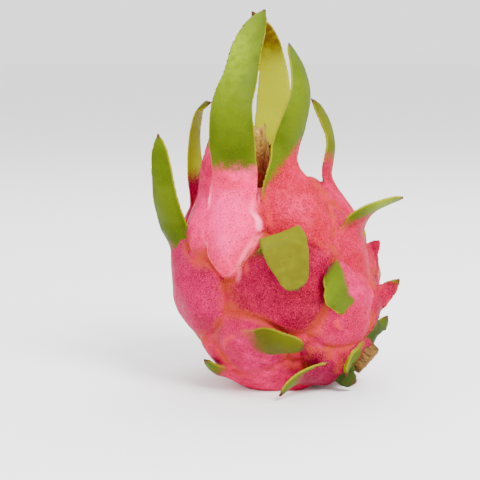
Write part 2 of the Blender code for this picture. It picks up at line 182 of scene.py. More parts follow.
SEEN_BRACTS = [
    bract("front_tall", (-37, 149), foot=(-34, 128), width=19.5, base=1.35, face=-8, plump=1.9, green=17.5,
          tone=0.14, cool=0.75, spread=0.8, wax=1.0, path=[
        (-22, -33.5, 94.5), (-22.8, -37, 109.3), (-22.9, -37, 122.3), (-19.6, -33, 134.3),
        (-15.8, -22, 148.9), (-8.9, -8, 162.5)]),
    bract("right_tall", (30, 154), foot=(34, 133), width=18, base=1.55, face=48, plump=1.7, green=16.0,
          slant=1.1, tone=0.48, cool=0.3, wax=0.2, path=[
        (-0.3, -31, 95.6), (0.5, -31, 105.6), (3.8, -30, 117), (6.3, -27, 127.2), (5.2, -22, 138.2),
        (1.1, -15, 148.3)]),
    bract("back_tall", (174, 134), width=17, face=170, green=8.0, inside=4.0, rust=1.0, wax=0.8, path=[
        (-4.9, 20.5, 105.3), (-4, 22.5, 120.9), (-4.4, 20, 136.5), (-7.5, 11, 149.8), (-14, -2, 161.6)]),
    bract("left_back", (-112, 134), width=13, face=-118, green=10.0, inside=14.0, rust=0.45,
          tone=0.8, path=[
        (-39.2, 1, 89.6), (-39.6, 2.5, 101.8), (-38.8, 3, 112.8), (-36.3, 0, 120.8), (-31.9, -5, 123.2)]),
    bract("left_front", (-76, 148), foot=(-66, 124), width=14, base=1.8, face=-45, green=24.0, rust=0.2,
          tone=0.3, cool=0.8, path=[
        (-31.5, -19, 95.4), (-28.6, -19, 108), (-26.5, -15, 120.4), (-25.3, -8, 132)]),
    bract("right_crown", (104, 132), width=12, base=1.5, face=68, green=19.0, rust=0.3, path=[
        (18.8, -2.5, 91.5), (19.8, -1, 98.4), (20.5, 0, 104.4), (19.5, 0.5, 110.5), (16.3, -1, 117.6),
        (11.4, -5, 124.7)]),
    bract("far_left", (-88, 108), foot=(-68, 85), width=15, base=1.7, face=-30, plump=1.3, green=3.5,
          tone=0.68, cool=0.95, spread=1.35, wax=0.2, path=[
        (-48, -14, 69.2), (-51, -20, 82.8), (-52.3, -22, 94), (-53.1, -22, 102.4), (-53.7, -20, 110.4)]),
    bract("right_horn", (70, 120), foot=(48, 94), width=19, plump=1.2, green=13.0, slant=0.9,
          tone=0.6, cool=0.3, wax=1.0, path=[
        (31.8, -22, 74.9), (36.5, -25, 79.5), (42.2, -26, 82.2), (49, -25, 84.4)]),
    # Its cushion's deep red is partly painted shade under its folded flap
    bract("front_folded", (3, 122), foot=(6, 94), width=19, base=1.9, blunt=1.8, plump=1.3, green=7.0,
          rust=0.6, dark=0.5, wax=0.0, spread=1.1, tone=0.84, cool=0.4, path=[
        (-3, -48, 68.4), (-3.4, -51.5, 71.7), (-2.2, -55.3, 70.2), (-0.8, -56.3, 65.5), (1.4, -55.5, 58.5),
        (4.1, -52, 49.5)]),
    bract("front_right", (43, 79), foot=(42, 47), width=20, blunt=1.8, green=8.0, slant=2.6, tone=0.45,
          cool=0.85, path=[(23.7, -38.5, 47.4), (20, -42.5, 54), (16.6, -44.5, 58)]),
    bract("right_upper", (114, 80), width=13, blunt=0.4, face=120, green=60.0, tone=0.7, path=[
        (39.8, 6, 58.5), (42.6, 6, 61.8)]),
    bract("right_lower", (112, 70), width=10, blunt=0.4, face=120, green=60.0, tone=0.7, path=[
        (40, 4, 53.5), (40.8, 4, 57.6)]),
    bract("right_point", (76, 56), foot=(66, 42), width=13, blunt=0.35, face=10, green=13.5, fringe=3.0,
          tone=0.9, cool=0.3, path=[(44.8, -11, 42.6), (49.9, -11, 47.4)]),
    # Its share of deep green is painted shade
    bract("low_tongue", (-50, 62), foot=(-70, 52), width=16, blunt=1.3, green=4.0, rust=0.5,
          dark=0.25, tone=0.45, cool=0.95, path=[
        (-6.1, -43.5, 26.2), (0.4, -46.5, 26), (7, -45.5, 24)]),
    # Its deep red is partly painted shade on the fruit's bottom
    bract("bottom", (-75, 16), foot=(-80, 5), width=17, green=24.0, inside=30.0, fringe=14.0, tone=0.95,
          cool=0.95, path=[(14.7, -27, 8.7), (7.5, -33, 9.2), (2.4, -37, 7.5), (-2.6, -38.5, 2.7)]),
    bract("stem_front", (72, 14), foot=(82, 2), width=13, base=1.1, blunt=0.8, face=35, green=-4.0,
          dark=0.85, tone=0.9, path=[(37.4, -17.5, 24.5), (39.2, -17.5, 31.5)]),
    bract("stem_back", (115, 16), foot=(125, 8), width=10, face=50, green=-4.0, dark=0.6, tone=0.9, path=[
        (42, -9, 25.5), (45, -8, 30.5)]),
    bract("stem_ear", (8, 12), foot=(30, 7), width=10, green=-2.0, dark=0.2, tone=0.9, path=[
        (28.2, -24, 15), (26.6, -26.5, 12.5), (25.7, -27.5, 8.5)]),
    bract("stem_under", (-52, 14), foot=(-42, 18), width=11, green=-3.0, dark=0.9, tone=0.95, path=[
        (26.5, -23.5, 6.5), (30.5, -22, 4.3)]),
]

# The bracts out of sight stand in rows: rise of the row, turns of its bracts, length, width, outward lean
HIDDEN_ROWS = [
    (140, (162, -152), 20.0, 15.0, 30.0),
    (120, (162, -173, -146), 15.0, 16.0, 38.0),
    (96, (146, 170, -162, -132), 15.0, 17.0, 40.0),
    (72, (140, 176, -146), 17.0, 17.0, 38.0),
    (50, (130, 158, -166, -92), 14.0, 15.0, 30.0),
    (28, (175, -150), 11.0, 13.0, 34.0),
]
HIDDEN_CURL = 22.0
JITTER_TURN = 4.0
JITTER_LEAN = 6.0
JITTER_LENGTH = 0.12
HIDDEN_TONES = (0.4, 0.65, 0.5)
HIDDEN_COOLS = (0.3, 0.8, 0.5, 0.65)

# Peel colours, linear. The reds each have a warm and a cool form
RED_LIGHT = ((0.90, 0.002, 0.045), (0.90, 0.0002, 0.17))
RED_FULL = ((0.38, 0.0002, 0.011), (0.36, 0.0001, 0.06))
# The deepest reds, partly painted shade on the bottom and under the folded flap
RED_DEEP = ((0.105, 0.0004, 0.006), (0.15, 0.0004, 0.026))
# The pale pink of a painted highlight on the cushions' crests
SWELL_HIGHLIGHT = (0.97, 0.04, 0.27)
SPECKLE = (0.90, 0.002, 0.10)
SPECKLE_SHADE = (0.40, 0.05, 0.22)
GRAIN = (0.95, 0.008, 0.12)
# Painted highlight along rims and creases, in a form for the deeper and for the paler cushions
SEAM_HIGHLIGHT = (0.60, 0.026, 0.03)
SEAM_HIGHLIGHT_PALE = (0.97, 0.17, 0.33)
RIB_PALE = (0.96, 0.10, 0.20)
CORK = (0.27, 0.045, 0.003)
GREEN_DEEP = (0.040, 0.062, 0.0002)
GREEN_FULL = (0.062, 0.092, 0.0002)
# The bloom's pale green, partly a painted sheen
GREEN_BLOOM_SHEEN = (0.19, 0.275, 0.002)
GREEN_INNER = (0.31, 0.32, 0.0005)
# The bloom's pale green on the inner side, partly a painted sheen
GREEN_INNER_BLOOM_SHEEN = (0.42, 0.45, 0.03)
GREEN_RUSTY = (0.095, 0.05, 0.002)
GREEN_SPECKLE = (0.19, 0.23, 0.001)
GREEN_EDGE = (0.24, 0.20, 0.003)
# The deep green round the stem, also painted shade on the low tongue
GREEN_STEM_AND_SHADE = (0.020, 0.030, 0.005)
TIP = (0.07, 0.025, 0.008)

# Colours of the cut stem, and of the withered flower at its foot and at its top
WOOD_DARK = (0.028, 0.013, 0.002)
WOOD_LIGHT = (0.12, 0.055, 0.01)
WOOD_SPECKLE = (0.26, 0.15, 0.04)
WOOD_CUT = (0.28, 0.12, 0.018)
PETAL_DRY = ((0.22, 0.045, 0.02), (0.28, 0.15, 0.022))
PETAL_BLEACHED = ((0.36, 0.12, 0.05), (0.46, 0.28, 0.06))
PETAL_SPECKLE = (0.09, 0.04, 0.02)

# Stem stub and the withered flower. A profile's rows are how far along its axis a ring is, from the skin,
# and the share of the radius there. The flower's are shares of its height, and the cut's are the radius
# and a lift in mm.
STUB_RADIUS = 7.0
STUB_PROFILE = (
    (-6.0, 0.75), (-1.0, 1.03), (0.3, 1.02), (1.5, 1.0), (2.8, 0.98), (4.2, 0.96), (4.9, 0.95),
    (5.3, 0.94), (5.6, 0.9),
)
CUT_PROFILE = ((0.78, 0.15), (0.62, 0.1), (0.45, 0.0), (0.3, -0.05), (0.22, -0.4), (0.12, -0.5))
STUB_SIDES = 120
STUB_RIDGES = 6
STUB_RIDGE_DEPTH = 0.06
SPLIT_DEPTH = 0.16
SPLIT_FADE = 3.0
CUT_ROUGHNESS = 0.22
STRAND_SQUEEZE = 0.12
FLOWER_RADIUS = 5.2
FLOWER_HEIGHT = 27.0
FLOWER_PROFILE = ((-0.15, 0.8), (0.0, 1.0), (0.35, 1.05), (0.65, 1.15), (0.85, 1.0), (0.96, 0.6))
CORE_SHARE = 0.86
CORE_TOP = 0.93
SCALES = 46
SCALE_LOWEST = -0.05
SCALE_CLIMB = 0.72
SCALE_SINK = 0.8
SCALE_LENGTHS = (7.5, 11.5)
SCALE_HALF_WIDTHS = (1.9, 2.7)
SCALE_FLARES = (-0.4, 1.5)
SCALE_TWISTS = (-1.2, 1.2)
SCALE_TEARS = (0.88, 1.1)
SCALE_WAVE = 0.22
SCALE_THICKNESS = 0.22
SCALE_ROWS = 9
SCALE_SIDES = 12
GOLDEN_TURN = 137.5

# Camera
CAMERA_DISTANCE = 620.0
CAMERA_ELEVATION = 8.0
MM_PER_PIXEL = 0.44
FRAME_PIXELS = 480
SENSOR = 36.0
AIM_LEFT = 14.3
AIM_UP = 16.28

# Studio, in metres and watts: a light's place, its width and its power
WORLD_STRENGTH = 1.8
LIGHTS = (
    ("key", (0.5, -0.75, 0.9), 0.5, 31.0),
    ("fill", (-0.8, -0.6, 0.45), 0.9, 5.0),
    ("top", (0.1, 0.5, 1.0), 0.8, 9.0),
)
LIGHT_AIM = (0, 0, 0.07)
FLOOR_HALF = 9000.0
FLOOR_GREY = (0.92, 0.92, 0.92)


def smooth_step(x):
    x = np.clip(x, 0.0, 1.0)
    return x * x * (3 - 2 * x)


def read(profile, at):
    return np.interp(at, [row[0] for row in profile], [row[1] for row in profile])


def units(vectors):
    return vectors / np.linalg.norm(vectors, axis=1)[:, None]


def lengths_along(points):
    """How far along a line each of its points is."""
    return np.cumsum([0.0] + [np.linalg.norm(b - a) for a, b in zip(points, points[1:])])


def nearest_on(line, points):
    """The number of the line's point that is nearest to each point."""
    return (-2 * points @ line.T + (line**2).sum(axis=1)).argmin(axis=1)


def bell(x, power=2):
    """1 at 0, and less on both sides."""
    return np.exp(-(x**power))


def angle_from(axis, directions):
    return np.degrees(np.arccos(np.clip(directions @ axis, -1, 1)))


def body_radius(directions):
    """Distance from the body's centre to its plain skin, for an array of unit directions."""
    along = directions @ CROWN_AXIS
    waist = BODY_WAIST * (1 - CROWN_TAPER * np.clip(along, 0, 1) ** TAPER_POWER)
    reach = np.where(along > 0, BODY_REACH_CROWN, BODY_REACH_STEM)
    egg = 1 / np.sqrt((1 - along**2) / waist**2 + along**2 / reach**2)
    swell = STEM_SWELL * bell(angle_from(STEM_AXIS, directions) / STEM_SWELL_ANGLE)
    return egg + swell - PIT_DEPTH * bell(angle_from(CROWN_AXIS, directions) / PIT_ANGLE, PIT_POWER)


def on_skin(points):
    """The points of the plain skin that lie straight below or above these."""
    directions = units(points - BODY_CENTRE)
    return BODY_CENTRE + directions * body_radius(directions)[:, None]


def direction_at(turn, rise):
    """The way from the body's centre to a place on the skin. The lower end is drawn over to the stem."""
    t = math.radians(turn)
    r = math.radians(rise)
    plain = math.sin(r) * (math.cos(t) * FRONT + math.sin(t) * RIGHT) - math.cos(r) * CROWN_AXIS
    drag = ((1 + math.cos(r)) / 2) ** STEM_DRAG_POWER
    return unit(plain + drag * (STEM_AXIS + CROWN_AXIS))


def skin(turn, rise, lift=0.0):
    direction = direction_at(turn, rise)
    return BODY_CENTRE + direction * (body_radius(direction) + lift)


def outward_at(point):
    """The skin's outward normal under a point."""
    step = 0.01
    middle = unit(point - BODY_CENTRE)
    across = unit(np.cross(middle, [0.3, 0.2, 0.9]))
    along = np.cross(middle, across)
    beside = [unit(middle + way * step) for way in (across, along)]
    edges = [way * body_radius(way) - middle * body_radius(middle) for way in beside]
    normal = unit(np.cross(edges[0], edges[1]))
    return normal if normal @ middle > 0 else -normal


def curve_at(points, knots, at):
    """A point of the smooth curve that passes through points at knots."""
    steps = [(points[i + 1] - points[i]) / (knots[i + 1] - knots[i]) for i in range(len(points) - 1)]
    slopes = [steps[0]]
    for i in range(1, len(points) - 1):
        weight = (knots[i + 1] - knots[i]) / (knots[i + 1] - knots[i - 1])
        slopes.append(steps[i - 1] * weight + steps[i] * (1 - weight))
    slopes.append(steps[-1])
    i = int(np.clip(np.searchsorted(knots, at, side="right") - 1, 0, len(points) - 2))
    gap = knots[i + 1] - knots[i]
    s = (at - knots[i]) / gap
    value = (2 * s**3 - 3 * s**2 + 1) * points[i] + (s**3 - 2 * s**2 + s) * gap * slopes[i]
    return value + (-2 * s**3 + 3 * s**2) * points[i + 1] + (s**3 - s**2) * gap * slopes[i + 1]


def bract_path(spec):
    """A bract's middle line, as points and how far along each is from where it leaves the skin."""
    (turn, rise), foot = spec["root"], spec["foot"]
    points = [
        skin(foot[0], foot[1], -FOOT_SINK),
        skin((turn + foot[0]) / 2, (rise + foot[1]) / 2),
        skin(turn, rise, ROOT_LIFT),
    ]
    points += [np.array(point, float) for point in spec["path"]]
    lengths = lengths_along(points)
    return points, lengths - lengths[2]


def hidden_bracts(draw):
    """The bracts out of sight, a few to a row, each leaning out from the skin and curling back in."""
    specs = []
    for rise, turns, length, width, lean in HIDDEN_ROWS:
        for turn in turns:
            place = (turn + draw.uniform(-JITTER_TURN, JITTER_TURN), rise)
            reach = length * (1 + draw.uniform(-JITTER_LENGTH, JITTER_LENGTH))
            start = skin(*place, ROOT_LIFT)
            outward = outward_at(start)
            up = unit(skin(place[0], rise + 1) - skin(*place))
            path = []
            point = start
            for k in range(3):
                angle = math.radians(lean + draw.uniform(-JITTER_LEAN, JITTER_LEAN) - HIDDEN_CURL * k)
                point = point + (up * math.cos(angle) + outward * math.sin(angle)) * reach / 3
                path.append(tuple(point))
            number = len(specs)
            specs.append(bract(
                f"hidden_{number:02d}", place, path, width, base=1.5, green=0.28 * reach,
                tone=HIDDEN_TONES[number % 3], cool=HIDDEN_COOLS[number % 4]))
    return specs


def ways_out(spec, at, share, line, tangents):
    """Which way a bract's outer side faces at each step: off the skin, then its own way if it has one."""
    outs = []
    for s, u, point, tangent in zip(at, share, line, tangents):
        if s <= 0:
            carried = outward_at(point)
        carried = unit(carried - tangent * (carried @ tangent))
        out = carried
        if spec["face"] is not None and s > 0:
            face = math.radians(spec["face"])
            target = np.array([math.sin(face), -math.cos(face), 0.0])
            target = unit(target - tangent * (target @ tangent))
            weight = smooth_step(u / BASE_FADE)
            out = out * (1 - weight) + target * weight
        outs.append(unit(out - tangent * (out @ tangent)))
    return np.array(outs)


class Blade:
    """A bract's middle line, frame and cross-section at even steps, and the distance field round it."""

    STEP = 0.5
    MARGIN = 6.0

    def __init__(self, spec, number):
        points, knots = bract_path(spec)
        start = BLADE_START * knots[0]
        self.at = np.linspace(start, knots[-1], int((knots[-1] - start) / self.STEP) + 2)
        self.gap = self.at[1] - self.at[0]
        self.line = np.array([curve_at(points, knots, s) for s in self.at])
        self.tangents = units(np.gradient(self.line, axis=0))
        share = np.where(self.at > 0, self.at / knots[-1], self.at / -knots[0])
        self.outs = ways_out(spec, self.at, share, self.line, self.tangents)
        self.sides = np.cross(self.tangents, self.outs)
        blunted = np.where(share < 0, share, np.abs(share) ** spec["blunt"])
        self.half_width = spec["width"] / 2 * read(WIDTH_ALONG, blunted)
        self.half_width *= 1 + (spec["base"] - 1) * (1 - smooth_step(share / BASE_FADE))
        self.thick = read(HALF_THICKNESS_ALONG, share)
        self.camber = read(CAMBER_ALONG, share)
        self.spec = spec
        self.length = knots[-1]
        self.phase = 1.7 * number
        margin = max(self.half_width) + self.MARGIN
        self.low = self.line.min(axis=0) - margin
        self.high = self.line.max(axis=0) + margin

    def near(self, points):
        return np.flatnonzero(np.all((points > self.low) & (points < self.high), axis=1))

    def measure(self, points):
        """For points: the signed distance to the blade, how far along, across and above its middle they are,
        and its half width and rim there."""
        nearest = nearest_on(self.line, points)
        shift = ((points - self.line[nearest]) * self.tangents[nearest]).sum(axis=1) / self.gap
        place = np.clip(nearest + shift, 0, len(self.at) - 1.0001)
        i = place.astype(int)

        def lerp(values):
            share = place - i if values.ndim == 1 else (place - i)[:, None]
            return values[i] * (1 - share) + values[i + 1] * share

        offset = points - lerp(self.line)
        across = (offset * lerp(self.sides)).sum(axis=1)
        above = (offset * lerp(self.outs)).sum(axis=1)
        over = (offset * lerp(self.tangents)).sum(axis=1)
        along = lerp(self.at)
        half_width, thick = lerp(self.half_width), lerp(self.thick)
        free = smooth_step(along / EDGE_FREE)
        side = across / np.maximum(half_width, LEAST_HALF_WIDTH)

        def swing(phase, height, length, shift):
            return height * free * np.sin(along / length + phase + shift * np.sign(side))

        wave = swing(self.phase, *EDGE_WAVE) * side**2
        half_width = half_width + swing(self.phase * 2, *EDGE_RAGGED)
        edge = np.minimum(EDGE_RADIUS, thick)
        core = np.maximum(half_width - edge, 0.05)
        flat = np.clip(across, -core, core)
        rim = bell((np.abs(across) - half_width + RIM_INSET) / RIM_WIDTH)
        rim *= 1 - smooth_step(along / RIM_FADE)
        rise = above + lerp(self.camber) * flat**2 - wave - RIM_HEIGHT * rim
        swell = edge + (thick - edge) * (1 - (flat / core) ** 2)
        distance = np.sqrt((across - flat) ** 2 + rise**2 + over**2) - swell
        return distance, along, across, rise, half_width, rim

    def marks(self, points):
        """For points: the distance to the blade, and the marks that it gives them."""
        distance, along, across, rise, half_width, rim = self.measure(points)
        spec = self.spec
        edge = np.maximum(half_width - np.abs(across), 0)
        inner = smooth_step(0.5 - rise / INNER_BLEND)
        turns_green = spec["green"] * (1 - inner) + spec["inside"] * inner + spec["slant"] * across
        turns_green = np.maximum(turns_green, np.minimum(spec["green"], SLANT_LEAST))
        sooner = spec["fringe"] * bell(edge / FRINGE_WIDTH)
        # The bloom's share, partly a painted sheen, painted lighter towards the blade's left edge
        wax = spec["wax"] * bell((along / self.length - BLOOM_SHEEN_MIDDLE) / BLOOM_SHEEN_SPREAD)
        side = across / np.maximum(half_width, LEAST_HALF_WIDTH)
        marks = {
            "green": along - turns_green + sooner, "edge": edge, "tip": self.length - along, "inner": inner,
            "rim": rim, "wax": wax * smooth_step(SHEEN_LEFT - 0.5 * side),
        }
        for name in ("dark", "rust", "tone", "cool"):
            marks[name] = np.full(len(points), spec[name])
        return distance, marks


class Cushion:
    """A bract's swollen base, which lies on the skin from its foot to its root."""

    def __init__(self, spec):
        root, foot = spec["root"], spec["foot"]
        shares = np.linspace(CUSHION_START, 1.0, CUSHION_STATIONS)
        self.line = np.array([
            skin(foot[0] + (root[0] - foot[0]) * s, foot[1] + (root[1] - foot[1]) * s) for s in shares])
        self.tangents = units(np.gradient(self.line, axis=0))
        self.sides = np.cross(self.tangents, np.array([outward_at(point) for point in self.line]))
        widest = spec["width"] / 2 * spec["base"] ** 0.5 * CUSHION_WIDEN * spec["spread"]
        self.widths = widest * read(CUSHION_WIDTH_ALONG, shares)
        self.peak = CUSHION_HEIGHT * spec["plump"]
        self.tone, self.cool = spec["tone"], spec["cool"]
        self.middle = self.line.mean(axis=0)
        self.reach = np.linalg.norm(self.line[-1] - self.line[0]) / 2
        self.reach += CUSHION_REACH * max(CUSHION_END, max(self.widths))

    def height(self, points):
        """The cushion's height above the plain skin at points on it, negative far from it."""
        i = nearest_on(self.line, points)
        offset = points - self.line[i]
        along = (offset * self.tangents[i]).sum(axis=1)
        last = len(self.line) - 1
        over = np.where(i == 0, np.minimum(along, 0), np.where(i == last, np.maximum(along, 0), 0))
        across = (offset * self.sides[i]).sum(axis=1)
        far = np.abs(over / CUSHION_END) ** CUSHION_POWER_ALONG
        far += np.abs(across / self.widths[i]) ** CUSHION_POWER_ACROSS
        return self.peak * (1 - far)


class Rib:
    """A raised margin along a fold of the skin, which fades out at both ends."""

    def __init__(self, height, width, pale, points):
        points = [np.array(point) for point in points]
        knots = lengths_along(points)
        line = np.array([curve_at(points, knots, at) for at in np.linspace(0, knots[-1], RIB_STEPS)])
        self.line = on_skin(line)
        self.height, self.width, self.pale = height, width, pale
        self.fade = np.sqrt(np.sin(math.pi * np.linspace(0, 1, RIB_STEPS)).clip(0))
        self.middle = self.line.mean(axis=0)
        self.reach = knots[-1] / 2 + 3 * width

    def share(self, points):
        """How far points on the plain skin are on the rib, up to 1."""
        i = nearest_on(self.line, points)
        distance = np.linalg.norm(points - self.line[i], axis=1)
        return self.fade[i] * bell(distance / self.width)


def close_to(thing, points):
    """The numbers of the points that a cushion or a rib reaches."""
    return np.flatnonzero(((points - thing.middle) ** 2).sum(axis=1) < thing.reach**2)


class Fruit:
    """The whole fruit's distance field in millimetres."""

    def __init__(self):
        specs = SEEN_BRACTS + hidden_bracts(random.Random(SEED))
        self.blades = [Blade(spec, number) for number, spec in enumerate(specs)]
        self.cushions = [Cushion(spec) for spec in specs]
        self.ribs = [Rib(*row) for row in RIBS]
        draw = np.random.default_rng(SEED)
        self.ripples = []
        for _ in range(RIPPLES):
            wave = unit(draw.normal(size=3)) * 2 * math.pi / draw.uniform(*RIPPLE_LENGTHS)
            self.ripples.append((wave, draw.uniform(*RIPPLE_PHASES), draw.uniform(*RIPPLE_HEIGHTS)))

    def on_ribs(self, skin_points):
        """How far the ribs raise the skin, and how pale they make it."""
        lift, pale = np.zeros(len(skin_points)), np.zeros(len(skin_points))
        for rib in self.ribs:
            near = close_to(rib, skin_points)
            share = rib.share(skin_points[near])
            lift[near] = np.maximum(lift[near], share * rib.height)
            pale[near] = np.maximum(pale[near], share * rib.pale)
        return lift, pale

    def relief(self, skin_points):
        """The skin's relief above the plain body, and how far the next cushion lies below the highest."""
        best = np.full(len(skin_points), CUSHION_FLOOR)
        second = np.full(len(skin_points), CUSHION_LEAST)
        for cushion in self.cushions:
            near = close_to(cushion, skin_points)
            height = cushion.height(skin_points[near])
            before = best[near]
            best[near] = np.maximum(before, height)
            second[near] = np.maximum(second[near], np.minimum(before, height))
        return best + self.on_ribs(skin_points)[0], best - second

    def tones(self, points):
        """How deep the skin's red is and how far it leans to magenta, drawn from the cushions round each
        point, and how pale its ribs make it."""
        skin_points = on_skin(points)
        weight = np.full(len(points), math.exp(CUSHION_FLOOR / TONE_BLEND))
        tone, cool = BARE_TONE * weight, BARE_COOL * weight
        for cushion in self.cushions:
            near = close_to(cushion, skin_points)
            share = np.exp(cushion.height(skin_points[near]) / TONE_BLEND)
            weight[near] += share
            tone[near] += share * cushion.tone
            cool[near] += share * cushion.cool
        return tone / weight, cool / weight, self.on_ribs(skin_points)[1]

    def body(self, points):
        """The distance to the body with its cushions, their relief, and the nearness of a groove."""
        offset = points - BODY_CENTRE
        reach = np.maximum(np.linalg.norm(offset, axis=1), 1e-6)
        directions = offset / reach[:, None]
        radius = body_radius(directions)
        distance = reach - radius
        relief = np.zeros(len(points))
        step = np.full(len(points), FAR)
        band = np.abs(distance) < SKIN_BAND
        if band.any():
            lifted, gap = self.relief(BODY_CENTRE + directions[band] * radius[band, None])
            ripple = sum(size * np.sin(points[band] @ wave + phase) for wave, phase, size in self.ripples)
            calm = 1 - bell(angle_from(CROWN_AXIS, directions[band]) / PIT_CALM_ANGLE, PIT_POWER)
            groove = GROOVE_DEPTH * bell(gap / GROOVE_WIDTH)
            shoulder = SHOULDER_HEIGHT * bell((gap - SHOULDER_PLACE) / SHOULDER_WIDTH)
            shoulder *= smooth_step(0.5 + 0.5 * np.sin(points[band] @ SHOULDER_FADE))
            relief[band] = (lifted - groove + shoulder) * calm + ripple
            step[band] = gap
        return distance - relief, relief, step

    def field(self, points):
        """The distance to the fruit's surface, negative inside it."""
        body = self.body(points)[0]
        leaves = np.full(len(points), NO_BLADE)
        for blade in self.blades:
            near = blade.near(points)
            leaves[near] = np.minimum(leaves[near], blade.measure(points[near])[0])
        mixed = np.maximum(BODY_BLEND - np.abs(body - leaves), 0) / BODY_BLEND
        joined = np.minimum(body, leaves) - mixed**2 * BODY_BLEND / 4
        return np.maximum(joined, -points[:, 2])

    def marks(self, points):
        """What the peel's material needs to know at each point of the surface."""
        body, relief, step = self.body(points)
        tone, cool, rib = self.tones(points)
        off_blade = {**OFF_BLADE, "tone": tone, "cool": cool}
        marks = {name: np.zeros(len(points)) + value for name, value in off_blade.items()}
        best = np.full(len(points), NO_BLADE)
        for blade in self.blades:
            near = blade.near(points)
            distance, own = blade.marks(points[near])
            take = distance < best[near]
            best[near[take]] = distance[take]
            for name, values in own.items():
                marks[name][near[take]] = values[take]
        on_blade = smooth_step((body - best) / BLADE_BLEND + 0.5)
        for name, value in off_blade.items():
            marks[name] = marks[name] * on_blade + value * (1 - on_blade)
        marks["crease"] = step * (1 - on_blade) + FAR * on_blade
        marks["rib"] = rib * (1 - on_blade)
        # How high the relief stands, the mask of the painted highlight on the cushions' crests
        marks["bulge"] = np.clip((relief + 0.5) / (CUSHION_HEIGHT + 1.0), 0, 2)
        return marks


def grid_points(axes):
    """All points of a grid with these steps along its axes."""
    return np.stack(np.meshgrid(*axes, indexing="ij"), axis=-1).reshape(-1, 3)


CORNERS = grid_points([(0, 1)] * 3)
EDGES = [(a, b) for a in range(8) for b in range(a + 1, 8) if np.abs(CORNERS[a] - CORNERS[b]).sum() == 1]


def in_parts(function, points, size=400000):
    return np.concatenate([function(points[i:i + size]) for i in range(0, len(points), size)])


def surface_of(fruit):
    """The surface of the fruit's distance field, as vertices in millimetres and four-sided faces."""
    low = np.array([*FIELD_LOW, -BELOW_FLOOR * GRID])
    rough_shape = np.ceil((np.array(FIELD_HIGH) - low) / GRID).astype(int) // COARSE + 2
    axes = [low[k] + COARSE * GRID * np.arange(rough_shape[k]) for k in range(3)]
    rough = in_parts(fruit.field, grid_points(axes)).reshape(rough_shape)
    close = np.abs(rough) < COARSE * GRID * COARSE_REACH
    wide = close.copy()
    for axis in range(3):
        for way in (1, -1):
            wide |= np.roll(close, way, axis=axis)
    blocks = np.argwhere(wide[:-1, :-1, :-1])
    full_shape = (rough_shape - 1) * COARSE + 1
    values = rough
    for axis in range(3):
        values = np.repeat(values, COARSE, axis)
    values = values[:full_shape[0], :full_shape[1], :full_shape[2]].astype(np.float32)
    flags = np.zeros(full_shape, bool)
    for step in grid_points([range(COARSE + 1)] * 3):
        flags[tuple((blocks * COARSE + step).T)] = True
    cells = np.argwhere(flags)
    values[flags] = in_parts(fruit.field, low + cells * GRID)
    return net_of(values, low)


def net_of(values, low):
    """Joins one vertex in every cell that the surface crosses, none of them at the box's border."""
    inside = values < 0
    span = [size - 1 for size in inside.shape]
    count = sum(
        inside[i:span[0] + i, j:span[1] + j, k:span[2] + k].astype(np.int8) for i, j, k in CORNERS)
    cells = np.argwhere((count > 0) & (count < 8))
    index = np.full(count.shape, -1, np.int32)
    index[tuple(cells.T)] = np.arange(len(cells))
    corner_values = [values[tuple((cells + corner).T)] for corner in CORNERS]
    total = np.zeros((len(cells), 3))
    crossings = np.zeros(len(cells))
    for a, b in EDGES:
        first, second = corner_values[a], corner_values[b]
        crossed = (first < 0) != (second < 0)
        share = np.where(crossed, first / np.where(crossed, first - second, 1), 0)
        spot = CORNERS[a] + share[:, None] * (CORNERS[b] - CORNERS[a])
        total += spot * crossed[:, None]
        crossings += crossed
    vertices = low + (cells + total / crossings[:, None]) * GRID
    faces = []
    for axis in range(3):
        at = np.argwhere(inside != np.roll(inside, -1, axis=axis))
        back_second, back_third = np.eye(3, dtype=int)[[(axis + 1) % 3, (axis + 2) % 3]]
        around = [at - back_second - back_third, at - back_third, at, at - back_second]
        quads = np.stack([index[tuple(corner.T)] for corner in around], axis=1)
        outward = inside[tuple(at.T)]
        quads[~outward] = quads[~outward][:, ::-1]
        faces.append(quads)
    return vertices, np.concatenate(faces)


def drawn_to_surface(fruit, vertices):
    """Moves vertices onto the field's surface."""
    step = 0.05
    for _ in range(2):
        here = in_parts(fruit.field, vertices)
        ahead = [in_parts(fruit.field, vertices + way * step) for way in np.eye(3)]
        slope = np.stack([(there - here) / step for there in ahead], axis=1)
        size = np.maximum((slope**2).sum(axis=1), 0.2)
        move = -slope * (here / size)[:, None]
        length = np.linalg.norm(move, axis=1)
        move *= (np.minimum(length, 0.4 * GRID) / np.maximum(length, 1e-9))[:, None]
        vertices = vertices + move
    vertices[:, 2] = np.maximum(vertices[:, 2], 0.0)
    return vertices


def in_scene(name, data):
    thing = bpy.data.objects.new(name, data)
    bpy.context.scene.collection.objects.link(thing)
    return thing


def mesh_object(name, vertices, faces, material):
    """A smooth mesh object from vertices in millimetres."""
    mesh = bpy.data.meshes.new(name)
    mesh.from_pydata((np.asarray(vertices) * MM).tolist(), [], [tuple(face) for face in faces])
    mesh.shade_smooth()
    mesh.materials.append(material)
    mesh.update()
    return in_scene(name, mesh)


def add_marks(thing, marks, places=()):
    """Gives a mesh's points the marks that its material reads, and places of their own in millimetres."""
    for name, values in marks.items():
        layer = thing.data.attributes.new(name, "FLOAT", "POINT")
        layer.data.foreach_set("value", np.asarray(values, np.float32))
    if len(places):
        layer = thing.data.attributes.new("strand", "FLOAT_VECTOR", "POINT")
        layer.data.foreach_set("vector", (np.asarray(places, np.float32) * MM).ravel())


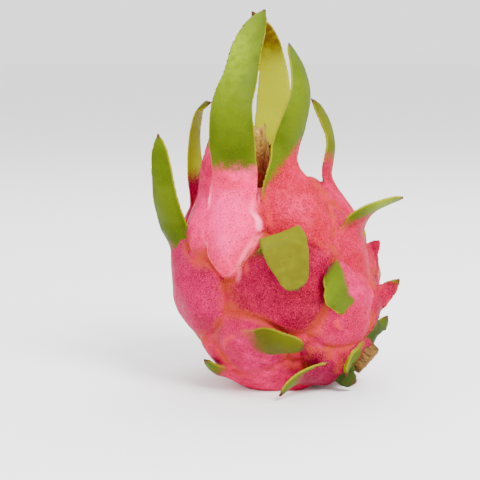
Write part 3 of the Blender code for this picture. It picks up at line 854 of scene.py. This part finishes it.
class Nodes:
    """Short ways to build a node tree."""

    def __init__(self, material, places=None):
        material.use_nodes = True
        self.tree = material.node_tree
        self.shader = self.tree.nodes["Principled BSDF"]
        if places:
            self.places = self.attribute(places, "Vector")
        else:
            self.places = self.tree.nodes.new("ShaderNodeTexCoord").outputs["Object"]

    def set(self, socket, value):
        """Gives a socket another's output, a colour or a number."""
        if isinstance(value, bpy.types.NodeSocket):
            self.tree.links.new(value, socket)
        else:
            socket.default_value = (*value, 1.0) if isinstance(value, tuple) else value

    def attribute(self, name, output):
        node = self.tree.nodes.new("ShaderNodeAttribute")
        node.attribute_name = name
        return node.outputs[output]

    def mark(self, name):
        return self.attribute(name, "Fac")

    def math(self, operation, a, b, clamp=False):
        node = self.tree.nodes.new("ShaderNodeMath")
        node.operation = operation
        node.use_clamp = clamp
        self.set(node.inputs[0], a)
        self.set(node.inputs[1], b)
        return node.outputs[0]

    def times(self, first, *others):
        for other in others:
            first = self.math("MULTIPLY", first, other)
        return first

    def noise(self, size, detail=3.0, rough=0.55):
        """Noise of about this size in millimetres."""
        node = self.tree.nodes.new("ShaderNodeTexNoise")
        node.inputs["Scale"].default_value = 1 / (size * MM)
        node.inputs["Detail"].default_value = detail
        node.inputs["Roughness"].default_value = rough
        self.tree.links.new(self.places, node.inputs["Vector"])
        return node.outputs["Fac"]

    def span(self, value, low, high, to_low=0.0, to_high=1.0, kind="SMOOTHSTEP"):
        """Maps low..high to to_low..to_high."""
        node = self.tree.nodes.new("ShaderNodeMapRange")
        node.interpolation_type = kind
        self.set(node.inputs["Value"], value)
        ends = {"From Min": low, "From Max": high, "To Min": to_low, "To Max": to_high}
        for name, end in ends.items():
            node.inputs[name].default_value = end
        return node.outputs["Result"]

    def mix(self, share, first, second, blend="MIX"):
        node = self.tree.nodes.new("ShaderNodeMix")
        node.data_type = "RGBA"
        node.blend_type = blend
        for place, value in ((0, share), (6, first), (7, second)):
            self.set(node.inputs[place], value)
        return node.outputs[2]

    def bump(self, height, depth, normal=None):
        """A bump of this depth in millimetres."""
        node = self.tree.nodes.new("ShaderNodeBump")
        node.inputs["Strength"].default_value = 1.0
        node.inputs["Distance"].default_value = depth * MM
        self.set(node.inputs["Height"], height)
        if normal is not None:
            self.set(node.inputs["Normal"], normal)
        return node.outputs["Normal"]

    def finish(self, colour, roughness, shine, normal=None):
        names = ("Base Color", "Roughness", "Specular IOR Level", "Normal")
        for name, value in zip(names, (colour, roughness, shine, normal)):
            if value is not None:
                self.set(self.shader.inputs[name], value)


def skin_red(n, broad, middle, fine):
    """The peel's red: its depth and hue, a painted highlight on the cushions' swells, speckles, a painted
    highlight along the seams, pale ribs, and corky creases.
    """
    tone = n.math("ADD", n.mark("tone"), n.span(broad, 0.3, 0.7, -0.12, 0.12))
    tone = n.math("ADD", tone, n.span(middle, 0.3, 0.7, -0.07, 0.07), clamp=True)
    cool = n.math("ADD", n.mark("cool"), n.span(broad, 0.35, 0.65, 0.18, -0.18), clamp=True)
    red = n.mix(n.span(tone, 0.0, 0.45, kind="LINEAR"), n.mix(cool, *RED_LIGHT), n.mix(cool, *RED_FULL))
    red = n.mix(n.span(tone, 0.45, 1.0, kind="LINEAR"), red, n.mix(cool, *RED_DEEP))
    # Painted highlight: pale pink on the crests of the pale cushions, where the relief stands highest
    swell = n.times(n.span(n.mark("bulge"), 0.5, 2.0, 0.0, 0.8), n.span(n.mark("tone"), 0.34, 0.12))
    red = n.mix(n.times(swell, n.span(n.noise(7, 2), 0.25, 0.6, 0.4, 1.0)), red, SWELL_HIGHLIGHT)
    red = n.mix(n.span(fine, 0.54, 0.72, 0.0, 0.38), red, SPECKLE)
    red = n.mix(n.span(fine, 0.50, 0.32, 0.0, 0.9), red, SPECKLE_SHADE, "MULTIPLY")
    red = n.mix(n.span(n.noise(0.38, 1, 0.5), 0.56, 0.70, 0.0, 0.22), red, GRAIN)

    # Painted highlight: pale lines along the raised rims and the creases
    seam_highlight = n.math("MAXIMUM", n.times(n.mark("rim"), 0.7), n.span(n.mark("crease"), 1.8, 0.6, 0.0, 0.5))
    seam_highlight = n.times(seam_highlight, n.span(n.noise(9, 2), 0.36, 0.56, 0.2, 1.0))
    pale = n.span(n.mark("tone"), 0.33, 0.16)
    seam_highlight = n.math("MULTIPLY", seam_highlight, n.span(pale, 0.0, 1.0, 0.7, 1.6), clamp=True)
    red = n.mix(seam_highlight, red, n.mix(pale, SEAM_HIGHLIGHT, SEAM_HIGHLIGHT_PALE))
    red = n.mix(n.span(n.mark("rib"), 0.05, 0.7, 0.0, 0.8), red, RIB_PALE)
    cork = n.times(n.span(n.mark("crease"), 2.4, 0.2), n.span(fine, 0.40, 0.56))
    cork = n.times(cork, n.span(n.noise(6, 2), 0.36, 0.54), 0.85)
    return n.mix(cork, red, CORK)


def blade_green(n, broad, middle, fine):
    """The blades' green: waxy bloom with a painted sheen, paler inner side, rusty and brown tips, speckles,
    and a thin yellow edge.
    """
    green = n.mix(n.span(broad, 0.35, 0.65), GREEN_DEEP, GREEN_FULL)
    # Painted sheen with the waxy bloom: paler green along the blade, lighter towards its left edge
    green = n.mix(n.times(n.mark("wax"), n.span(middle, 0.3, 0.65, 0.55, 1.0), 0.85), green, GREEN_BLOOM_SHEEN)
    green = n.mix(n.times(n.mark("inner"), 0.85), green, GREEN_INNER)
    green = n.mix(n.times(n.mark("inner"), n.mark("wax"), 0.25), green, GREEN_INNER_BLOOM_SHEEN)
    rusty = n.times(n.mark("rust"), n.span(n.mark("tip"), 34.0, 18.0))
    green = n.mix(n.times(rusty, n.span(middle, 0.25, 0.6, 0.6, 1.0)), green, GREEN_RUSTY)
    green = n.mix(n.span(fine, 0.54, 0.72, 0.0, 0.18), green, GREEN_SPECKLE)
    green = n.mix(n.span(n.mark("edge"), 0.65, 0.2, 0.0, 0.6), green, GREEN_EDGE)
    # Deep green round the stem, and painted shade on the low tongue
    green = n.mix(n.mark("dark"), green, GREEN_STEM_AND_SHADE)
    return n.mix(n.span(n.mark("tip"), 2.6, 0.6), green, TIP)


def peel_material():
    """The waxy skin, red on the body and green on the blades, with a ragged border between the two."""
    material = bpy.data.materials.new("peel_skin")
    n = Nodes(material)
    broad, middle, fine = n.noise(17, 2), n.noise(3.2, 3), n.noise(0.6, 2, 0.7)
    ragged = n.math("ADD", n.mark("green"), n.span(middle, 0.3, 0.7, -0.9, 0.9))
    ragged = n.math("ADD", ragged, n.span(fine, 0.3, 0.7, -2.4, 2.4))
    turned = n.span(ragged, -3.0, 3.2)
    colour = n.mix(turned, skin_red(n, broad, middle, fine), blade_green(n, broad, middle, fine))
    roughness, shine = n.span(middle, 0.3, 0.7, 0.40, 0.54), n.span(turned, 0.0, 1.0, 0.04, 0.05)
    n.finish(colour, roughness, shine, n.bump(middle, 0.22, n.bump(fine, 0.10)))
    return material


def wood_material():
    """The stem's dry fibres, which run along its strands."""
    material = bpy.data.materials.new("stem_fibre")
    n = Nodes(material, places="strand")
    strands, fine = n.noise(0.9, 3, 0.6), n.noise(0.3, 2, 0.6)
    colour = n.mix(n.span(strands, 0.36, 0.60), WOOD_DARK, WOOD_LIGHT)
    colour = n.mix(n.span(fine, 0.45, 0.65, 0.0, 0.5), colour, WOOD_SPECKLE)
    n.finish(n.mix(n.times(n.mark("cut"), 0.6), colour, WOOD_CUT), 0.85, 0.2, n.bump(strands, 0.4))
    return material


def dry_material():
    """The withered flower's papery brown, redder towards its foot."""
    material = bpy.data.materials.new("dry_petal")
    n = Nodes(material, places="strand")
    strands, fine = n.noise(1.1, 3, 0.6), n.noise(0.35, 2, 0.6)
    high = n.span(n.mark("height"), 0.35, 0.8)
    colour = n.mix(n.span(strands, 0.40, 0.62), n.mix(high, *PETAL_DRY), n.mix(high, *PETAL_BLEACHED))
    colour = n.mix(n.span(fine, 0.48, 0.30, 0.0, 0.7), colour, PETAL_SPECKLE)
    n.finish(colour, 0.85, 0.2, n.bump(strands, 0.3))
    return material


def turned_round(axis, angle):
    """The direction across an axis at this angle round it."""
    first = unit(np.cross(axis, [0.2, 1.0, 0.1]))
    return first * math.cos(angle) + np.cross(axis, first) * math.sin(angle)


def tube_faces(rows, sides, start=0):
    """The faces of a tube of rings, with a point at either end: the start's is first and the end's last."""
    first = start + 1
    last = first + (rows - 1) * sides
    faces = []
    for k in range(sides):
        beside = (k + 1) % sides
        faces.append((start, first + beside, first + k))
        for low in range(first, last, sides):
            faces.append((low + k, low + beside, low + sides + beside, low + sides + k))
        faces.append((last + k, last + beside, last + sides))
    return faces


def dress(thing, node):
    """Hands a piece in as the look of a node."""
    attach(thing, "root")
    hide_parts(node)


def make_stub():
    """The cut stem: split fibres along its side, and a flat cut with a pith."""
    draw = np.random.default_rng(SEED)
    foot = BODY_CENTRE + STEM_AXIS * body_radius(STEM_AXIS)
    angles = 2 * math.pi * np.arange(STUB_SIDES) / STUB_SIDES
    strands = draw.normal(size=STUB_SIDES)
    strands = strands * 0.6 + np.roll(strands, 1) * 0.4
    ridges = STUB_RIDGE_DEPTH * np.cos(STUB_RIDGES * angles)
    rows = [(along, STUB_RADIUS * share, 0.0) for along, share in STUB_PROFILE]
    rows += [(STUB_PROFILE[-1][0] + lift, STUB_RADIUS * share, 1.0) for share, lift in CUT_PROFILE]
    vertices, places, cut = [foot + STEM_AXIS * rows[0][0]], [(0, 0, 0)], [0.0]
    for along, radius, is_cut in rows:
        split = SPLIT_DEPTH * (1 - is_cut) * smooth_step(along / SPLIT_FADE)
        reach = radius * (1 + ridges * (1 - 0.5 * is_cut)) + split * strands
        lift = CUT_ROUGHNESS * strands * (1 - radius / STUB_RADIUS * 0.2) * is_cut
        for angle, out, up in zip(angles, reach, lift):
            vertices.append(foot + STEM_AXIS * (along + up) + turned_round(STEM_AXIS, angle) * out)
            places.append((out * math.cos(angle), out * math.sin(angle), along * STRAND_SQUEEZE))
            cut.append(is_cut)
    vertices.append(foot + STEM_AXIS * (rows[-1][0] - 0.1))
    places.append((0, 0, rows[-1][0] * STRAND_SQUEEZE))
    cut.append(1.0)
    thing = mesh_object("cut_stem", vertices, tube_faces(len(rows), STUB_SIDES), wood_material())
    add_marks(thing, {"cut": cut}, places)
    dress(thing, "stem_stub")


def scale_vertices(draw, foot, number):
    """One papery scale, a flattened tube from its root to its torn tip."""
    climb = number / SCALES
    base = FLOWER_HEIGHT * (SCALE_LOWEST + SCALE_CLIMB * climb)
    out = turned_round(CROWN_AXIS, math.radians(GOLDEN_TURN) * number)
    side = np.cross(CROWN_AXIS, out)
    length = draw.uniform(*SCALE_LENGTHS)
    half_width = draw.uniform(*SCALE_HALF_WIDTHS) * (1 - 0.25 * climb)
    stand = FLOWER_RADIUS * (0.98 - 0.16 * climb)
    flare, twist = draw.uniform(*SCALE_FLARES), draw.uniform(*SCALE_TWISTS)
    vertices = [foot + CROWN_AXIS * (base - SCALE_SINK) + out * stand * 0.8]
    for row in range(SCALE_ROWS):
        share = (row + 0.5) / SCALE_ROWS
        centre = foot + CROWN_AXIS * (base + length * share) + out * (stand + flare * share**2.5)
        centre = centre + side * twist * share**2
        reach = half_width * (1 - 0.15 * share) * math.sqrt(max(1 - share**4, 0.02))
        reach *= draw.uniform(*SCALE_TEARS)
        for k in range(SCALE_SIDES):
            angle = 2 * math.pi * k / SCALE_SIDES
            across = reach * math.cos(angle)
            hug = -(across**2) / (2.4 * stand) + SCALE_WAVE * math.sin(3.1 * across + number)
            vertices.append(centre + side * across + out * (hug + SCALE_THICKNESS * math.sin(angle)))
    vertices.append(foot + CROWN_AXIS * (base + length * 1.04) + out * (stand + flare) + side * twist)
    return vertices


def make_flower():
    """The withered flower: papery scales in rising turns round a core, their dry tips torn and bent."""
    draw = random.Random(SEED)
    foot = BODY_CENTRE + CROWN_AXIS * body_radius(CROWN_AXIS)
    core = [(FLOWER_HEIGHT * along, FLOWER_RADIUS * share * CORE_SHARE) for along, share in FLOWER_PROFILE]
    sides = SCALE_SIDES * 2
    faces = tube_faces(len(core), sides)
    vertices = [foot + CROWN_AXIS * core[0][0]]
    for along, radius in core:
        for k in range(sides):
            out = turned_round(CROWN_AXIS, 2 * math.pi * k / sides)
            vertices.append(foot + CROWN_AXIS * along + out * radius)
    vertices.append(foot + CROWN_AXIS * FLOWER_HEIGHT * CORE_TOP)
    places = [tuple(vertex - foot) for vertex in vertices]
    for number in range(SCALES):
        faces += tube_faces(SCALE_ROWS, SCALE_SIDES, len(vertices))
        scale = scale_vertices(draw, foot, number)
        vertices += scale
        for offset in (vertex - foot for vertex in scale):
            places.append(tuple(offset - CROWN_AXIS * float(offset @ CROWN_AXIS) * 0.85 + 3.0 * number))
    heights = [float((vertex - foot) @ CROWN_AXIS) / FLOWER_HEIGHT for vertex in vertices]
    thing = mesh_object("withered_flower", vertices, faces, dry_material())
    add_marks(thing, {"height": heights}, places)
    dress(thing, "dried_flower")


def make_camera():
    tilt = math.radians(CAMERA_ELEVATION)
    forward = Vector((0, math.cos(tilt), -math.sin(tilt)))
    up = Vector((0, math.sin(tilt), math.cos(tilt)))
    target = Vector(BODY_CENTRE) - Vector((AIM_LEFT, 0, 0)) + up * AIM_UP
    data = bpy.data.cameras.new("camera")
    data.sensor_width = SENSOR
    data.lens = SENSOR * CAMERA_DISTANCE / (MM_PER_PIXEL * FRAME_PIXELS)
    camera = in_scene("camera", data)
    camera.location = (target - forward * CAMERA_DISTANCE) * MM
    camera.rotation_euler = (math.pi / 2 - tilt, 0, 0)
    bpy.context.scene.camera = camera


def add_light(name, place, size, power):
    data = bpy.data.lights.new(name, "AREA")
    data.shape = "DISK"
    data.size = size
    data.energy = power
    light = in_scene(name, data)
    light.location = place
    light.rotation_euler = (Vector(LIGHT_AIM) - Vector(place)).to_track_quat("-Z", "Y").to_euler()


def make_studio():
    world = bpy.data.worlds.new("studio")
    world.use_nodes = True
    sky = world.node_tree.nodes["Background"].inputs
    sky["Color"].default_value = (1.0, 1.0, 1.0, 1.0)
    sky["Strength"].default_value = WORLD_STRENGTH
    bpy.context.scene.world = world
    for name, place, size, power in LIGHTS:
        add_light(name, place, size, power)
    material = bpy.data.materials.new("floor_paint")
    Nodes(material).finish(FLOOR_GREY, 0.9, 0.1)
    corners = [(x * FLOOR_HALF, y * FLOOR_HALF, 0) for x, y in ((-1, -1), (1, -1), (1, 1), (-1, 1))]
    mesh_object("floor", corners, [(0, 1, 2, 3)], material)


def make_fruit():
    fruit = Fruit()
    vertices, faces = surface_of(fruit)
    vertices = drawn_to_surface(fruit, vertices)
    thing = mesh_object("peel", vertices, faces, peel_material())
    add_marks(thing, fruit.marks(vertices))
    dress(thing, "fruit")


make_camera()
make_studio()
make_fruit()
make_stub()
make_flower()
